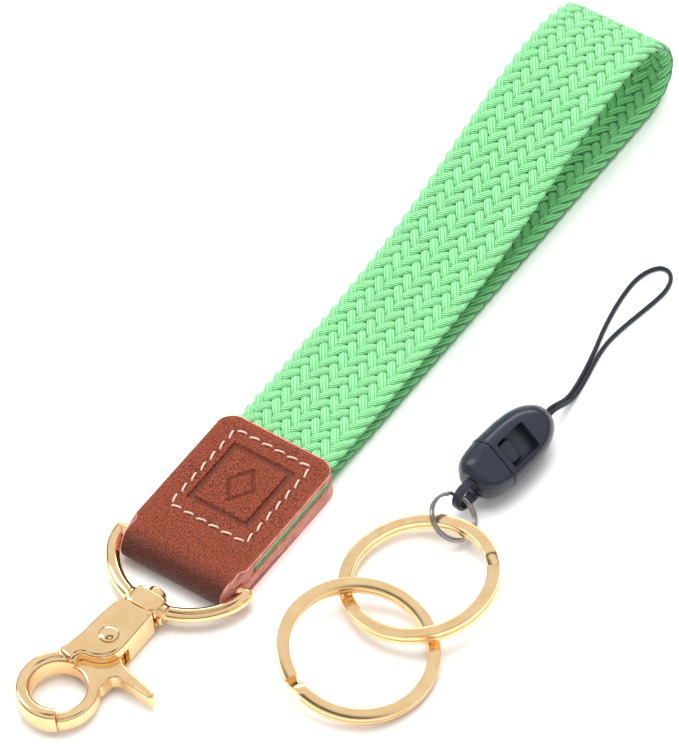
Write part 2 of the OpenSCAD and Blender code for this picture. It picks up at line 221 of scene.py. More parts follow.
def swept(path, section, up=(0, 0, 1)):
    """The section carried along the path, its second axis as near as can be to up."""
    ahead = unit(np.gradient(path, axis=0))
    side = unit(np.cross(ahead, np.broadcast_to(np.array(up, float), path.shape)))
    lift = np.cross(side, ahead)
    flat = section[None, :, :]
    points = path[:, None] + side[:, None] * flat[:, :, :1] + lift[:, None] * flat[:, :, 1:]
    return points.reshape(-1, 3), closed_rows(len(path), len(section))


def turned(profile, sides):
    """A closed body of revolution about Z: the profile's radius and height, from axis to axis."""
    a = np.arange(sides) * 2 * math.pi / sides
    rows = [np.stack([max(r, 1e-4) * np.cos(a), max(r, 1e-4) * np.sin(a), np.full(sides, z)], 1)
            for r, z in profile]
    return np.concatenate(rows), closed_rows(len(profile), sides)


def cylinder(radius, low, high, sides=32):
    return turned([(0, low), (radius, low), (radius, high), (0, high)], sides)


def inset(outline, distance, steps=8):
    """The outline moved inwards bit by bit, eased as it goes so that it never crosses itself."""
    out = outline.copy()
    for _ in range(steps if distance > 0 else 0):
        ahead = unit(np.roll(out, -1, 0) - np.roll(out, 1, 0))
        n = np.stack([ahead[:, 1], -ahead[:, 0]], 1)
        out = out - n * distance / steps
        middle = (np.roll(out, -1, 0) + np.roll(out, 1, 0)) / 2 - out
        ahead = unit(np.roll(out, -1, 0) - np.roll(out, 1, 0))
        out = out + 0.5 * ahead * (middle * ahead).sum(1, keepdims=True) + 0.04 * middle
    return out


def plate(outline, low, high, radius, corner):
    """A flat casting with a rounded rim: the outline runs anticlockwise."""
    outline = np.array(outline, float)
    a = np.linspace(0, 90, corner) * DEG
    levels = [(radius * (1 - math.sin(t)), low + radius * (1 - math.cos(t))) for t in a]
    levels += [(radius * (1 - math.cos(t)), high - radius * (1 - math.sin(t))) for t in a]
    rows = [np.column_stack([inset(outline, d), np.full(len(outline), z)]) for d, z in levels]
    return np.concatenate(rows), closed_rows(len(rows), len(outline))


def block(size, at, radius):
    """A box with eased edges round a middle."""
    outline = round_section(size[0], size[1], radius * 1.2, 4)
    points, faces = plate(outline, -size[2] / 2, size[2] / 2, radius, 4)
    return points + np.array(at), faces


def moved(shape, matrix):
    points, faces = shape
    m = np.array(matrix)
    return points @ m[:3, :3].T + m[:3, 3], faces


def mesh_of(name, shapes, scale=MM):
    """One mesh of closed shapes that stay apart, with doubled points joined."""
    points, faces, start = [], [], 0
    for p, f in shapes:
        points.append(p)
        faces += [[i + start for i in face] for face in f]
        start += len(p)
    mesh = bpy.data.meshes.new(name)
    mesh.from_pydata(np.concatenate(points).tolist(), [], faces)
    work = bmesh.new()
    work.from_mesh(mesh)
    bmesh.ops.remove_doubles(work, verts=work.verts, dist=3e-4)
    bmesh.ops.recalc_face_normals(work, faces=work.faces)
    bmesh.ops.scale(work, vec=(scale,) * 3, verts=work.verts)
    work.to_mesh(mesh)
    work.free()
    return mesh


GRAIN, EASE = 0.14, 5


def cast(name, parts, cuts):
    """One closed casting: the parts run into one eased skin, then the cuts are taken out."""
    groups = [parts] + [[c] for c in cuts]
    shapes = [bpy.data.objects.new("part", mesh_of("part", group, 1)) for group in groups]
    for o in shapes:
        bpy.context.scene.collection.objects.link(o)
    skin = shapes[0].modifiers.new("skin", "REMESH")
    skin.mode, skin.voxel_size = "VOXEL", GRAIN
    soften = shapes[0].modifiers.new("soften", "SMOOTH")
    soften.factor, soften.iterations = 0.5, EASE
    for other in shapes[1:]:
        change = shapes[0].modifiers.new("change", "BOOLEAN")
        change.operation, change.object, change.solver = "DIFFERENCE", other, "EXACT"
    ready = bpy.context.evaluated_depsgraph_get()
    mesh = bpy.data.meshes.new_from_object(shapes[0].evaluated_get(ready))
    mesh.materials.clear()
    mesh.transform(Matrix.Scale(MM, 4))
    for o in shapes:
        bpy.data.objects.remove(o)
    mesh.name = name
    return mesh


def piece(name, mesh, finish, body, stands_for, sharp=38):
    """A piece of the lanyard, shaded smooth up to the angle, on its body."""
    mesh.polygons.foreach_set("use_smooth", [True] * len(mesh.polygons))
    if sharp:
        mesh.set_sharp_from_angle(angle=sharp * DEG)
    for f in finish if isinstance(finish, (list, tuple)) else [finish]:
        mesh.materials.append(f.material)
    made = bpy.data.objects.new(name, mesh)
    bpy.context.scene.collection.objects.link(made)
    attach(made, body)
    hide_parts(*stands_for)


# ---------------------------------------------------------------- finishes
def cord_finish():
    f = Finish("black_cord", roughness=0.62, specular_ior_level=0.4)
    x = f.noise(2.2, 2)
    f.set(base_color=f.mixed(x, (0.008, 0.010, 0.017), (0.026, 0.030, 0.042)),
          normal=f.bump(x, 0.05, 0.6))
    return f


def mint_finish():
    """Dyed yarn: ribs across one way of the braid, long yarns along the other, with painted shade
    in the grooves between them.
    """
    f = Finish("mint_braid", roughness=0.66, specular_ior_level=0.35, sheen_weight=0.25,
               sheen_roughness=0.4)
    along, around, way = f.laid()
    ribs = ((along * 0.82 + around * 0.9) * (math.pi / 0.52)).sine().size()
    yarns = (around * (math.pi / 0.66) + 0.6).sine().size()
    fluff = f.noise(3.0, 3, 0.6)
    height = ribs * way + yarns * (1 - way)
    # Colour goes darker where the ribs and yarns sink: painted shade in their grooves, with random
    # fluff on top.
    tone = height ** 0.7 * 0.8 + fluff * 0.3
    patch = f.noise(0.35, 2)
    pale = f.mixed(patch, (0.27, 0.78, 0.32), (0.33, 0.85, 0.39))
    f.set(base_color=f.mixed(tone.between(0.1, 0.9), (0.115, 0.50, 0.16), pale),
          roughness=0.8 - tone * 0.25,
          normal=f.bump(fluff, 0.04, 0.6, f.bump(height, 0.24, 1.0)))
    return f


# A dark green sheet inside the braid: painted shade that shows in the gaps between the strands.
def core_shade_finish():
    f = Finish("strap_shade_core", roughness=0.9)
    f.set(base_color=f.mixed(f.noise(2.0), (0.03, 0.22, 0.06), (0.06, 0.34, 0.11)))
    return f


def leather_finish():
    """Glossy pebbled hide, with painted highlights on its pebble tops and painted shade in its
    creases, its pressed grooves and round the fold.
    """
    f = Finish("cognac_leather", specular_ior_level=0.34)
    where = f.place()
    cells = f.node("ShaderNodeTexVoronoi", {"feature": "SMOOTH_F1"}, {
        "Vector": where, "Scale": 2.8 / MM, "Smoothness": 0.3, "Randomness": 1.0})
    fine = f.noise(4.5, 3, 0.6)
    broad = f.noise(0.12, 3)
    pressed, fold, worn = f.laid()
    pebble = (1 - cells + fine * 0.25) * (1 - pressed * 0.7) + pressed * 0.4
    # Pebble tops painted lighter and their valleys darker: painted highlights and painted shade on
    # the grain.
    tone = f.mixed(pebble.between(0.38, 0.92), (0.105, 0.018, 0.008), (0.41, 0.086, 0.035))
    tone = f.mixed(broad.between(0.35, 0.7) * 0.4, tone, (0.25, 0.048, 0.020))
    # Painted shade in the pressed grooves.
    tone = f.mixed(pressed * 0.6, tone, (0.07, 0.012, 0.006))
    # Painted shade round the fold.
    tone = f.mixed(fold * 0.8, tone, (0.040, 0.006, 0.004))
    tone = f.mixed(worn * 0.35, tone, (0.40, 0.11, 0.06))
    f.set(base_color=tone, roughness=0.34 + fine * 0.12 - pebble * 0.08,
          normal=f.bump(fine, 0.04, 0.5, f.bump(pebble, 0.34, 1.0)))
    return f


def raw_edge_finish():
    """Cut leather: pink fibres in layers."""
    f = Finish("raw_edge", roughness=0.85, specular_ior_level=0.25)
    where = f.node("ShaderNodeMapping", sockets={"Vector": f.place(), "Scale": (1, 0.25, 1.6)})
    fibre = f.noise(1.6, 4, 0.7, where)
    grit = f.noise(6, 2)
    tone = f.mixed(fibre.between(0.3, 0.7), (0.42, 0.13, 0.10), (0.80, 0.36, 0.30))
    f.set(base_color=f.mixed(grit.between(0.45, 0.75) * 0.35, tone, (0.9, 0.55, 0.46)),
          normal=f.bump(fibre + grit * 0.4, 0.12, 0.8))
    return f


def thread_finish():
    f = Finish("cream_thread", roughness=0.55, specular_ior_level=0.45, sheen_weight=0.2)
    along, around, _ = f.laid()
    ply = ((along * 1.1 + around) * (math.pi / 0.34)).sine().size()
    # Colour goes darker between the plies: painted shade in their grooves.
    f.set(base_color=f.mixed(ply, (0.46, 0.27, 0.19), (0.86, 0.66, 0.54)),
          normal=f.bump(ply, 0.08, 0.8))
    return f


def metal_finish(name, colour, shade, roughness, brushed=0.05):
    """Plated metal: hazy in patches, with faint polishing marks."""
    f = Finish(name, metallic=1.0)
    cloud = f.noise(0.25, 4, 0.55)
    marks = f.noise(1.2, 3, 0.6, f.node("ShaderNodeMapping", sockets={
        "Vector": f.place(), "Scale": (0.4, 3.0, 1.0)}))
    f.set(base_color=f.mixed(cloud.between(0.35, 0.7), shade, colour),
          roughness=roughness + cloud * 0.05 + marks.between(0.5, 0.8) * brushed,
          normal=f.bump(marks, 0.006, 0.25))
    return f


def plastic_finish():
    f = Finish("satin_plastic", specular_ior_level=0.42)
    mould = f.noise(3.2, 2)
    cloud = f.noise(0.2, 3)
    f.set(base_color=f.mixed(cloud, (0.013, 0.016, 0.027), (0.028, 0.032, 0.050)),
          roughness=0.15 + mould * 0.08 + cloud * 0.1,
          normal=f.bump(mould, 0.015, 0.4))
    return f


def floor_finish():
    f = Finish("floor", roughness=0.7, specular_ior_level=0.2)
    f.set(base_color=f.mixed(f.noise(0.004), (0.93, 0.93, 0.935), (0.95, 0.95, 0.95)))
    return f


CORD, MINT, CORE_SHADE = cord_finish(), mint_finish(), core_shade_finish()
LEATHER, RAW, THREAD = leather_finish(), raw_edge_finish(), thread_finish()
GOLD = metal_finish("pale_gold", (1.0, 0.73, 0.41), (0.95, 0.65, 0.33), 0.12)
STEEL = metal_finish("spring_steel", (0.75, 0.74, 0.72), (0.55, 0.54, 0.52), 0.22)
NICKEL = metal_finish("nickel", (0.50, 0.49, 0.47), (0.30, 0.29, 0.28), 0.14)
PLASTIC = plastic_finish()


# ---------------------------------------------------------------- phone cord
CORD_D = 0.9
CORD_ROUTE = [
    (40.2, 51.2, 5.7), (40.3, 53.2, 5.7), (40.4, 55.2, 5.5), (40.4, 57.2, 4.6),
    (40.2, 59.2, 3.2), (39.9, 61.2, 1.8), (39.6, 63.4, 0.9), (39.2, 66.0, 0.5),
    (38.7, 69.2, 0.5), (38.0, 72.6, 0.5), (37.1, 76.4, 0.5), (36.0, 80.4, 0.5),
    (35.1, 84.4, 0.5), (34.4, 88.4, 0.5), (34.0, 92.4, 0.5), (34.0, 96.0, 0.5),
    (34.8, 99.2, 0.5), (36.4, 101.4, 0.5), (38.4, 101.6, 0.5), (40.0, 100.0, 0.5),
    (40.7, 97.2, 0.5), (40.5, 94.0, 0.5), (39.9, 90.4, 0.5), (39.2, 86.6, 0.5),
    (38.6, 82.8, 0.5), (38.3, 79.2, 0.5), (38.5, 76.0, 0.5), (39.0, 72.8, 0.5),
    (39.7, 69.3, 0.5), (40.2, 66.1, 0.5), (40.6, 63.5, 0.9), (40.9, 61.2, 1.8),
    (41.2, 59.2, 3.2), (41.4, 57.2, 4.6), (41.4, 55.2, 5.5), (41.3, 53.2, 5.7),
    (41.2, 51.1, 5.7)]
line = smooth_line(CORD_ROUTE, 4)
curve = bpy.data.curves.new("phone_loop_cord", "CURVE")
curve.dimensions = "3D"
spline = curve.splines.new("POLY")
spline.points.add(len(line) - 1)
for point, place in zip(spline.points, line):
    point.co = (*(place * MM), 1)
curve.bevel_depth = CORD_D / 2 * MM
curve.bevel_resolution = 4
curve.use_fill_caps = True
curve.materials.append(CORD.material)
cord = bpy.data.objects.new("phone_loop_cord", curve)
bpy.context.scene.collection.objects.link(cord)
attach(cord, "socket")
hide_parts("phone_cord")

# ---------------------------------------------------------------- strap
tab_low, tab_high = node_box("leather_tab")
strap_low, strap_high = node_box("wrist_strap")
TAB_Y, TAB_T, TAB_W = tab_high[1], tab_high[2], tab_high[0] - tab_low[0]
STRAP_W, STRAP_T = strap_high[0] - strap_low[0], 2.1
# The hide and its thinned back, where the strap's front end stops, and how far its back end goes in
PLY, SKIVE, SLOT_Y, POCKET = 1.4, 0.7, -9, 11.5
BACK_T = STRAP_T + 2 * SKIVE
LOOP_L, LOOP_H = 126, 21.2
FRONT_SHARE = [(0, 0), (0.12, 0.02), (0.24, 0.06), (0.35, 0.13), (0.46, 0.26), (0.57, 0.48),
               (0.68, 0.73), (0.76, 0.9), (0.83, 0.99), (0.89, 1)]
FOLD_SHARE = [(0.948, 0.9), (0.98, 0.69), (0.992, 0.42), (0.98, 0.18), (0.95, 0.05), (0.91, 0),
              (0.8, 0), (0.64, 0), (0.48, 0), (0.32, 0), (0.18, 0), (0.1, 0)]


def strap_line():
    """The loop's centre line in Y and Z, from the slot round the loop to the pocket."""
    low, high = STRAP_T / 2, LOOP_H - STRAP_T / 2
    front, end = BACK_T + STRAP_T / 2, SKIVE + STRAP_T / 2
    points = [(SLOT_Y, front), (TAB_Y - 12, front)]
    points += [(TAB_Y + u * LOOP_L, front + v * (high - front)) for u, v in FRONT_SHARE]
    points += [(TAB_Y + u * LOOP_L, low + v * (high - low)) for u, v in FOLD_SHARE]
    points += [(TAB_Y + 1, end), (TAB_Y - POCKET, end)]
    return smooth_line(points, 12)


class Course:
    """Places on the loop by the distance along its centre line."""

    def __init__(self, points):
        self.points = points
        self.run = np.concatenate([[0], np.cumsum(np.linalg.norm(np.diff(points, axis=0), axis=1))])
        self.length = self.run[-1]

    def spot(self, s):
        s = np.clip(s, 0, self.length)
        return np.stack([np.zeros_like(s), np.interp(s, self.run, self.points[:, 0]),
                         np.interp(s, self.run, self.points[:, 1])], -1)

    def at(self, s, near=0.6):
        """The places at these distances, and the way that the strap's face looks there."""
        ahead = unit(self.spot(s + near) - self.spot(s - near))
        face = np.stack([np.zeros_like(s), -ahead[:, 2], ahead[:, 1]], -1)
        return self.spot(s), face


# Each strand lies PICK behind the one before, swings REACH to each side and LIFT up and down. TIP
# sharpens its turn at the edge, and FLARE spreads the braid inside the tab.
STRANDS, PICK = 20, 3.3
REACH, LIFT = STRAP_W / 2 - 0.98, 0.52
TIP, FLARE = 0.985, 0.115
STRAND_W, STRAND_T = 1.02, 0.54
SIDES, STEP = 10, 0.4
course = Course(strap_line())


def strand(number):
    """One strand of the flat braid: it runs edge to edge, over two and under two others."""
    s = np.arange(0.2, course.length - 0.2, STEP)
    turn = 2 * math.pi * (s - number * PICK) / (STRANDS * PICK)
    inside = 1 - step((s - 16) / 9)
    x = REACH * (1 + FLARE * inside) * np.arcsin(TIP * np.sin(turn)) / math.asin(TIP)
    folded = (turn + math.pi / 2) % (2 * math.pi)
    rung = STRANDS / 2
    up = np.cos(rung * turn - math.pi / 4)
    down = -np.cos(rung * turn + math.pi / 4)
    width = math.pi / STRANDS

    def ease(v):
        return step((v + width) / (2 * width))

    back_share = ease(folded - math.pi) * (1 - ease(folded - 2 * math.pi)) * (folded > math.pi / 2)
    back_share = np.where(folded < width, 1 - ease(folded), back_share)
    wave = up * (1 - back_share) + down * back_share
    height = np.tanh(1.7 * wave) / math.tanh(1.7)
    place, face = course.at(s)
    place = place + face * (LIFT * height)[:, None]
    place[:, 0] += x
    ahead = unit(np.gradient(place, axis=0))
    side = unit(np.cross(ahead, face))
    lift = np.cross(side, ahead)
    a = np.arange(SIDES) * 2 * math.pi / SIDES
    wide = STRAND_W * (0.9 + 0.12 * np.abs(height))
    plump = np.sign(np.cos(a)) * np.abs(np.cos(a)) ** 0.85
    points = (place[:, None] + side[:, None] * (wide[:, None] * plump)[..., None]
              + lift[:, None] * (STRAND_T * np.sin(a))[None, :, None])
    run = np.concatenate([[0], np.cumsum(np.linalg.norm(np.diff(place, axis=0), axis=1))])
    lay = np.stack(np.broadcast_arrays(run[:, None], (a * STRAND_W * 0.9)[None, :],
                                       (1 - back_share)[:, None]), -1)
    return (points.reshape(-1, 3), closed_rows(len(s), SIDES)), lay.reshape(-1, 3)


def carry(mesh, rows):
    """Puts three numbers on each point of a mesh, for its finish."""
    layer = mesh.attributes.new("lay", "FLOAT_VECTOR", "POINT")
    layer.data.foreach_set("vector", np.asarray(rows, np.float32).ravel())


def plain_mesh(name, shapes):
    """One mesh of closed shapes, with its points as given."""
    points, faces, start = [], [], 0
    for p, f in shapes:
        points.append(p)
        faces += (np.array(f[:-2]) + start).tolist() + [[i + start for i in end] for end in f[-2:]]
        start += len(p)
    mesh = bpy.data.meshes.new(name)
    mesh.from_pydata((np.concatenate(points) * MM).tolist(), [], faces)
    mesh.flip_normals()
    return mesh


for half in range(2):
    made = [strand(k) for k in range(half, STRANDS, 2)]
    mesh = plain_mesh("strap_strands", [m[0] for m in made])
    carry(mesh, np.concatenate([m[1] for m in made]))
    piece("strap_strands_" + "ab"[half], mesh, MINT, "strap_set", ["wrist_strap"], sharp=0)

s = np.arange(0, 25, 0.4)
bound = []
for side in (-1, 1):
    path = np.stack([side * (TAB_W / 2 - 1.0 + 0.06 * np.sin(s * 2 * math.pi / PICK)),
                     SLOT_Y + 0.4 + s, np.full(len(s), BACK_T + STRAP_T / 2)], 1)
    section = round_section(1.5, STRAP_T - 0.12, 0.6, 4)
    around = np.concatenate([[0], np.cumsum(np.linalg.norm(np.diff(section, axis=0), axis=1))])
    lay = np.stack(np.broadcast_arrays(s[:, None], around[None], 0.0 * s[:, None]), -1)
    bound.append((swept(path, section), lay.reshape(-1, 3)))
mesh = plain_mesh("strap_selvage", [b[0] for b in bound])
carry(mesh, np.concatenate([b[1] for b in bound]))
piece("strap_selvage", mesh, MINT, "strap_set", ["wrist_strap"])

# A sheet of painted shade inside the braid, seen through the gaps between the strands.
CORE_W, CORE_T = 20.4, 0.34
s = np.arange(0.4, course.length - 0.4, 1.5)
place, face = course.at(s)
shape = swept(place, round_section(CORE_W, CORE_T, 0.12, 3), face)
piece("strap_shade_core", mesh_of("strap_shade_core", [shape]), CORE_SHADE, "strap_set", ["wrist_strap"])

# ---------------------------------------------------------------- leather tab
BAR_Y, BAR_Z = -14.5, TAB_T / 2
FOLD_Y, FOLD_R = BAR_Y - 1, TAB_T / 2
CORNER_R = 4
BORE = 1.58
WIRE_R = 1.5
BAR_HALF = TAB_W / 2 + 0.15 + WIRE_R
SHOULDER_R, SHOULDER_A = 9, 32
SHOULDER_X = BAR_HALF - SHOULDER_R
RELIEF_R = SHOULDER_R - WIRE_R - 0.1
SEAM_X, SEAM_Y0, SEAM_Y1 = 9.25, -6, 16.3
ACROSS, ALONG = 6, 7
FRAME_X, FRAME_Y, FRAME_AT = 7.5, 8.2, 5.3
LOZENGE_X, LOZENGE_Y = 3.1, 4.2


def groove(distance, width):
    """How deep a rounded groove is, 0 to 1, at a distance from its middle."""
    return np.clip(1 - (distance / (width / 2)) ** 2, 0, 1) ** 0.8


def pressed_depth(x, y):
    """How far the tab's face is pressed in: its frame, its lozenge and the channel of its seam."""
    box = np.maximum(np.abs(x) - FRAME_X, np.abs(y - FRAME_AT) - FRAME_Y)
    rim = step((0.7 - np.abs(box + 0.6)) / 0.2)
    panel = step(-box / 0.7)
    diamond = (np.abs(x) / LOZENGE_X + np.abs(y - FRAME_AT) / LOZENGE_Y - 1) * 2.5
    mark = groove(np.abs(diamond), 0.85)
    middle = (SEAM_Y0 + SEAM_Y1) / 2
    seam = np.maximum(np.abs(x) - SEAM_X, np.abs(y - middle) - (SEAM_Y1 - SEAM_Y0) / 2)
    channel = groove(np.abs(seam), 1.3)
    deep = rim * 0.46 + panel * 0.08 + mark * 0.45 + channel * 0.2
    # The second number marks the pressed grooves, which the finish paints with painted shade.
    return deep, np.clip(rim + mark + channel * 0.5, 0, 1)


def tab_outline():
    """The tab's section in Y and Z: the face, round the fold, the back, and the slot and bore."""
    fine = 0.2
    top = [(y, TAB_T) for y in np.arange(TAB_Y - 0.35, FOLD_Y, -fine)]
    fold = [(FOLD_Y - FOLD_R * math.sin(a), BAR_Z + FOLD_R * math.cos(a))
            for a in np.linspace(0, math.pi, 44)]
    under = [(y, 0) for y in np.arange(FOLD_Y + 0.3, TAB_Y - 0.3, 0.3)]
    back_end = [(TAB_Y - 0.12, 0.08), (TAB_Y, 0.35), (TAB_Y, BACK_T / 2), (TAB_Y, BACK_T - 0.2),
                (TAB_Y - 0.2, BACK_T)]
    slot_low = [(y, BACK_T) for y in np.arange(TAB_Y - 1, SLOT_Y + 0.5, -1.0)]
    lip = [(SLOT_Y - 0.2, BACK_T - 0.02), (SLOT_Y - 1.6, BACK_T - 0.05),
           (BAR_Y + BORE + 0.4, BAR_Z - 0.12)]
    bore = [(BAR_Y + BORE * math.cos(a), BAR_Z + BORE * math.sin(a))
            for a in np.linspace(-8 * DEG, -352 * DEG, 30)]
    lip_top = [(BAR_Y + BORE + 0.4, BAR_Z + 0.1), (SLOT_Y - 1.8, BAR_Z + 0.35),
               (SLOT_Y - 0.7, BACK_T + 1.2), (SLOT_Y - 0.1, TAB_T - PLY - 0.15)]
    slot_high = [(y, TAB_T - PLY) for y in np.arange(SLOT_Y + 0.5, TAB_Y - 0.5, 1.0)]
    front_end = [(TAB_Y - 0.12, TAB_T - PLY), (TAB_Y, TAB_T - PLY + 0.15), (TAB_Y, TAB_T - PLY / 2),
                 (TAB_Y - 0.04, TAB_T - 0.25), (TAB_Y - 0.15, TAB_T - 0.08)]
    parts = [top, fold[1:-1], under, back_end, slot_low, lip, bore, lip_top, slot_high, front_end]
    grain = np.concatenate([np.full(len(p), i < 3) for i, p in enumerate(parts)])
    return np.concatenate([np.array(p, float) for p in parts]), grain


def leather_shape():
    outline, grain = tab_outline()
    count = len(outline)
    half = TAB_W / 2
    rim, front = 0.35, 10
    flat = np.linspace(-(half - rim), half - rim, 135)
    turn = np.array([80, 60, 40, 20]) * DEG
    side = half - rim + rim * np.sin(turn)
    sink = rim * (1 - np.cos(turn))
    xs = np.concatenate([-side, flat, side[::-1]])
    drop = np.concatenate([sink, np.zeros(len(flat)), sink[::-1]])
    near, far = np.roll(outline, 1, 0), np.roll(outline, -1, 0)
    n = unit(np.stack([(far - near)[:, 1], -(far - near)[:, 0]], 1))
    rows, lays = [], []
    for x, d in zip(xs, drop):
        over = max(abs(x) - (half - CORNER_R), 0)
        end = TAB_Y - CORNER_R + math.sqrt(max(CORNER_R**2 - over**2, 0))
        row = outline - n * d * 0.8
        pull = (end - front) / (TAB_Y - front)
        y = np.where(row[:, 0] > front, front + (row[:, 0] - front) * pull, row[:, 0])
        z = row[:, 1].copy()
        far_out = np.hypot(y - BAR_Y, z - BAR_Z)
        room = (SHOULDER_X + np.sqrt(np.maximum(RELIEF_R**2 - far_out**2, 0))) / half
        narrow = 1 - (1 - np.minimum(room, 1)) * step((-11.2 - y) / 2.0)
        face = grain & (outline[:, 1] > TAB_T - 0.01)
        deep, mark = pressed_depth(x, y)
        edge = np.exp(-np.minimum(half - abs(x), end - y).clip(0) / 0.7)
        sway = 0.05 * np.sin(x * 0.31 + 1.0) * np.sin(y * 0.23 + 0.4)
        z = np.where(face, z - deep - edge * 0.12 + sway - 0.05, z)
        # Painted shade: how far the hide runs round the fold, which its finish paints darker.
        fold_shade = np.clip((FOLD_Y + 1.5 - y) / 3.5, 0, 1) * grain
        rows.append(np.column_stack([x * narrow, y, z]))
        lays.append(np.column_stack([np.where(face, mark, 0), fold_shade, np.where(face, edge, 0.2)]))
    faces = closed_rows(len(xs), count)
    return (np.concatenate(rows), faces), np.concatenate(lays), grain, len(xs)


shape, lay, grain, rows = leather_shape()
mesh = plain_mesh("leather", [shape])
carry(mesh, lay)
count = len(grain)
raw = np.ones(len(mesh.polygons), int)
inner = np.arange(rows - 1)[:, None] * count + np.arange(count)[None, :]
raw[inner.ravel()] = np.tile(~(grain & np.roll(grain, -1)), rows - 1)
raw[inner[:3].ravel()] = raw[inner[-3:].ravel()] = 1
mesh.polygons.foreach_set("material_index", raw)
piece("leather_tab_hide", mesh, [LEATHER, RAW], "strap_set", ["leather_tab"], sharp=50)


# ---------------------------------------------------------------- stitching
THREAD_R, STITCH_SHARE = 0.22, 0.7


def stitch(at, heading, length, out):
    """One stitch: a thread that comes up through its hole, lies on the leather and goes down."""
    u = np.linspace(-1, 1, 15)
    arch = 1 - np.abs(u) ** 3.5
    slant = 0.26 * u
    side = np.array([-heading[1], heading[0], 0])
    path = (np.array(at)[None] + u[:, None] * heading * length / 2 + side * slant[:, None]
            + np.array([0, 0, out]) * (arch * 0.42 - 0.36)[:, None])
    a = np.arange(10) * 2 * math.pi / 10
    section = np.stack([THREAD_R * 1.12 * np.cos(a), THREAD_R * 0.85 * np.sin(a)], 1)
    lay = np.stack(np.broadcast_arrays((u * length / 2)[:, None], (a * THREAD_R)[None],
                                       0.0 * u[:, None]), -1)
    return swept(path, section), lay.reshape(-1, 3)


def seam(level, out):
    """The square of stitches on one face of the tab; out is the way that the face looks."""
    dx, dy = 2 * SEAM_X / ACROSS, (SEAM_Y1 - SEAM_Y0) / ALONG
    across, along = np.array([1.0, 0, 0]), np.array([0, 1.0, 0])
    made = [stitch((-SEAM_X + (i + 0.5) * dx, y, level), across, dx * STITCH_SHARE, out)
            for y in (SEAM_Y0, SEAM_Y1) for i in range(ACROSS)]
    return made + [stitch((x, SEAM_Y0 + (i + 0.5) * dy, level), along, dy * STITCH_SHARE, out)
                   for x in (-SEAM_X, SEAM_X) for i in range(ALONG)]


made = seam(TAB_T - 0.1, 1) + seam(0.42, -1)
mesh = plain_mesh("stitches", [m[0] for m in made])
carry(mesh, np.concatenate([m[1] for m in made]))
piece("seam_stitches", mesh, THREAD, "strap_set", ["stitching"], sharp=0)

# ---------------------------------------------------------------- D-ring
BOW_R = SHOULDER_R + SHOULDER_X / math.cos(SHOULDER_A * DEG)
BOW_Y = BAR_Y + SHOULDER_X * math.tan(SHOULDER_A * DEG)
BOTTOM_Y = BOW_Y - BOW_R
HOOK_X = 0.5
BOSS = (7, 4.4, 5.2)
COLLAR_R, COLLAR_W, COLLAR_EDGE = 2.15, 1.1, 0.25
POST_R = 1.25


def arc(centre, radius, start, end, steps, z):
    """Points round part of a circle, between two angles in degrees."""
    a = np.linspace(start, end, steps + 1) * DEG
    return np.stack([centre[0] + radius * np.cos(a), centre[1] + radius * np.sin(a),
                     np.full(len(a), z)], 1)


def circle_section(radius, sides=24):
    a = np.arange(sides) * 2 * math.pi / sides
    return np.stack([radius * np.cos(a), radius * np.sin(a)], 1)


def along_y(shape, at=(0, 0, 0)):
    """Lays a turned shape down, so that its height runs along +Y."""
    return moved(shape, Matrix.Translation(at) @ Matrix.Rotation(-math.pi / 2, 4, "X"))


def along_x(shape, at=(0, 0, 0)):
    return moved(shape, Matrix.Translation(at) @ Matrix.Rotation(math.pi / 2, 4, "Y"))


bow = np.concatenate([
    arc((SHOULDER_X, BAR_Y), SHOULDER_R, 0, -SHOULDER_A, 12, BAR_Z),
    arc((0, BOW_Y), BOW_R, -SHOULDER_A, SHOULDER_A - 180, 60, BAR_Z)[1:],
    arc((-SHOULDER_X, BAR_Y), SHOULDER_R, SHOULDER_A - 180, -180, 12, BAR_Z)[1:]])
ball = [(WIRE_R * math.cos(a), WIRE_R * math.sin(a)) for a in np.linspace(-90, 90, 15) * DEG]
knuckles = [moved(turned(ball, 24), Matrix.Translation((side * BAR_HALF, BAR_Y, BAR_Z)))
            for side in (-1, 1)]
rod = along_x(cylinder(WIRE_R, -BAR_HALF, BAR_HALF), (0, BAR_Y, BAR_Z))
half = BOSS[0] / 2 + COLLAR_W
collar = [(0, -half), (COLLAR_R - COLLAR_EDGE, -half), (COLLAR_R, -half + COLLAR_EDGE),
          (COLLAR_R, half - COLLAR_EDGE), (COLLAR_R - COLLAR_EDGE, half), (0, half)]
collar = along_x(turned(collar, 40), (HOOK_X, BOTTOM_Y, BAR_Z))
boss = block(BOSS, (HOOK_X, BOTTOM_Y, BAR_Z), 0.45)
bore = along_y(cylinder(POST_R + 0.05, -4, 4), (HOOK_X, BOTTOM_Y, BAR_Z))
mesh = cast("d_ring", [swept(bow, circle_section(WIRE_R)), rod, *knuckles, collar, boss], [bore])
piece("d_ring_wire", mesh, GOLD, "d_ring", ["d_ring"], sharp=32)

# ---------------------------------------------------------------- swivel post
HEAD_R = 2.1
POST_DEPTH = 3.6
boss_back = BOTTOM_Y + BOSS[1] / 2 + 0.05
boss_front = BOTTOM_Y - BOSS[1] / 2
SHANK_Y = boss_front - 0.5
post_end = -(boss_back - SHANK_Y) - POST_DEPTH
post = [(0, post_end), (POST_R, post_end), (POST_R, 0), (1.95, 0), (HEAD_R, 0.15), (HEAD_R, 1.15)]
post += [(HEAD_R * math.cos(a) ** 0.75, 1.15 + 0.75 * math.sin(a))
         for a in np.linspace(10, 89, 8) * DEG]
post += [(0, 1.9)]
mesh = mesh_of("swivel", [along_y(turned(post, 40), (HOOK_X, boss_back, BAR_Z))])
piece("swivel_pin", mesh, GOLD, "hook", ["swivel_post"], sharp=40)

